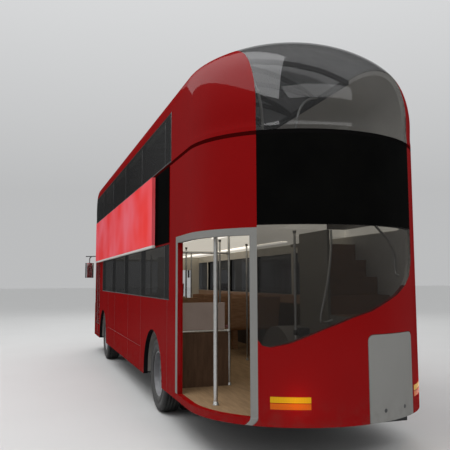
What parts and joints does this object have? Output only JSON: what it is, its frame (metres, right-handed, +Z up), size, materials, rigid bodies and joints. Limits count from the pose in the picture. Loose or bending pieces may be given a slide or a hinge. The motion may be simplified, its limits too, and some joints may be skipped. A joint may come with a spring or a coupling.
{
  "type": "double decker bus",
  "caption": "Two-deck city bus with rounded ends, glazed roof, open rear platform with stairs, twin-leaf front door, engine hatch and steered front axle.",
  "frame": {"origin": "on the ground, midway between the ends and the sides", "axes": "+X forward, +Y to the nearside with the open platform, +Z up"},
  "size_m": [11, 2.93, 4.305],
  "materials": {
    "red_paint": "gloss",
    "grey_paint": "satin",
    "black_trim": "satin",
    "display_glass": "gloss",
    "board": "gloss",
    "clear_glass": "tinted",
    "cream_lining": "satin",
    "wood_floor": "sealed",
    "brown_panel": "satin",
    "plywood": "lacquered",
    "seat_fabric": "woven",
    "rail_steel": "satin",
    "black_plastic": "grained",
    "chassis_paint": "matt",
    "rim_steel": "satin",
    "tyre": "matt",
    "door_leaf": "gloss",
    "lamp_lens": "moulded lens"
  },
  "bodies": {
    "body": {"cab_partition": "cream_lining", "chassis_frame": "chassis_paint", "dash": "black_plastic", "display_panels": "display_glass", "door_hangers": "rail_steel", "driver_seat": "seat_fabric", "engine_block": "chassis_paint", "entrance_screen": "brown_panel", "floor_tanks": "black_plastic", "front_axle_beam": "chassis_paint", "front_dome": "red_paint", "front_lower_panel": "red_paint", "front_upper_glass": "clear_glass", "handrails": "rail_steel", "headlamps": "lamp_lens", "lower_floor": "wood_floor", "mirrors": "red_paint", "nearside_rear_panel": "red_paint", "nearside_side_wall": "red_paint", "nearside_upper_shell": "red_paint", "offside_side_wall": "red_paint", "offside_upper_shell": "red_paint", "platform_frame": "grey_paint", "propshaft": "chassis_paint", "rear_axle": "chassis_paint", "rear_lamps": "lamp_lens", "rear_lower_glass": "clear_glass", "rear_lower_panel": "red_paint", "rear_upper_glass": "clear_glass", "roof_bars": "cream_lining", "roof_glass": "clear_glass", "seam_band": "black_trim", "seat_benches": "plywood", "seat_pads": "seat_fabric", "side_boards": "board", "side_glass": "clear_glass", "staircase": "wood_floor", "upper_floor": "wood_floor", "wheelhouses": "black_plastic", "windscreen": "clear_glass"},
    "front_wheel_nearside": {"front_tyre_nearside": "tyre", "front_rim_nearside": "rim_steel"},
    "front_wheel_offside": {"front_tyre_offside": "tyre", "front_rim_offside": "rim_steel"},
    "rear_wheels_nearside": {"rear_tyres_nearside": "tyre", "rear_rims_nearside": "rim_steel"},
    "rear_wheels_offside": {"rear_tyres_offside": "tyre", "rear_rims_offside": "rim_steel"},
    "knuckle_nearside": {"knuckle_nearside": "chassis_paint"},
    "knuckle_offside": {"knuckle_offside": "chassis_paint"},
    "engine_hatch": {"service_hatch": "grey_paint"},
    "door_arm_rear": {"door_arm_rear": "rail_steel"},
    "door_arm_front": {"door_arm_front": "rail_steel"},
    "door_leaf_rear": {"door_leaf_rear": "door_leaf"},
    "door_leaf_front": {"door_leaf_front": "door_leaf"},
    "cab_door": {"cab_door": "cream_lining"},
    "steering_wheel": {"steering_wheel": "black_plastic"}
  },
  "joints": [
    {"name": "steering_nearside", "type": "hinge", "parent": "body", "child": "knuckle_nearside", "pos_m": [2.8, 0.96, 0.48], "axis": [0, 0, 1], "range_deg": [-35, 35]},
    {"name": "front_wheel_nearside_spin", "type": "hinge", "parent": "knuckle_nearside", "child": "front_wheel_nearside", "pos_m": [2.8, 1.055, 0.48], "axis": [0, 1, 0], "continuous": true},
    {"name": "rear_wheels_nearside_spin", "type": "hinge", "parent": "body", "child": "rear_wheels_nearside", "pos_m": [-2.55, 0.915, 0.48], "axis": [0, 1, 0], "continuous": true},
    {"name": "steering_offside", "type": "hinge", "parent": "body", "child": "knuckle_offside", "pos_m": [2.8, -0.96, 0.48], "axis": [0, 0, 1], "range_deg": [-35, 35]},
    {"name": "front_wheel_offside_spin", "type": "hinge", "parent": "knuckle_offside", "child": "front_wheel_offside", "pos_m": [2.8, -1.055, 0.48], "axis": [0, 1, 0], "continuous": true},
    {"name": "rear_wheels_offside_spin", "type": "hinge", "parent": "body", "child": "rear_wheels_offside", "pos_m": [-2.55, -0.915, 0.48], "axis": [0, 1, 0], "continuous": true},
    {"name": "hatch_hinge", "type": "hinge", "parent": "body", "child": "engine_hatch", "pos_m": [-5.41696, -0.475, 1.195], "axis": [-0.3393, 0.9407, 0], "range_deg": [0, 75]},
    {"name": "door_arm_rear_turn", "type": "hinge", "parent": "body", "child": "door_arm_rear", "pos_m": [3.468, 1.172, 2.1725], "axis": [0, 0, -1], "range_deg": [0, 85]},
    {"name": "door_leaf_rear_turn", "type": "hinge", "parent": "door_arm_rear", "child": "door_leaf_rear", "pos_m": [3.687, 1.172, 2.1725], "axis": [0, 0, -1], "range_deg": [-170, 0]},
    {"name": "door_arm_front_turn", "type": "hinge", "parent": "body", "child": "door_arm_front", "pos_m": [4.352, 1.172, 2.1725], "axis": [0, 0, -1], "range_deg": [-85, 0]},
    {"name": "door_leaf_front_turn", "type": "hinge", "parent": "door_arm_front", "child": "door_leaf_front", "pos_m": [4.133, 1.172, 2.1725], "axis": [0, 0, -1], "range_deg": [0, 170]},
    {"name": "cab_door_hinge", "type": "hinge", "parent": "body", "child": "cab_door", "pos_m": [4.505, -0.135, 0.9], "axis": [0, 0, -1], "range_deg": [0, 90]},
    {"name": "steering_wheel_turn", "type": "hinge", "parent": "body", "child": "steering_wheel", "pos_m": [4.53342, -0.65, 1.18361], "axis": [-0.4226, 0, 0.9063], "range_deg": [-525, 525]}
  ],
  "couplings": [
    {"joint": "steering_offside", "follows": "steering_nearside", "ratio": 1},
    {"joint": "steering_wheel_turn", "follows": "steering_nearside", "ratio": 15},
    {"joint": "door_leaf_rear_turn", "follows": "door_arm_rear_turn", "ratio": -2},
    {"joint": "door_arm_front_turn", "follows": "door_arm_rear_turn", "ratio": -1},
    {"joint": "door_leaf_front_turn", "follows": "door_arm_rear_turn", "ratio": 2}
  ]
}
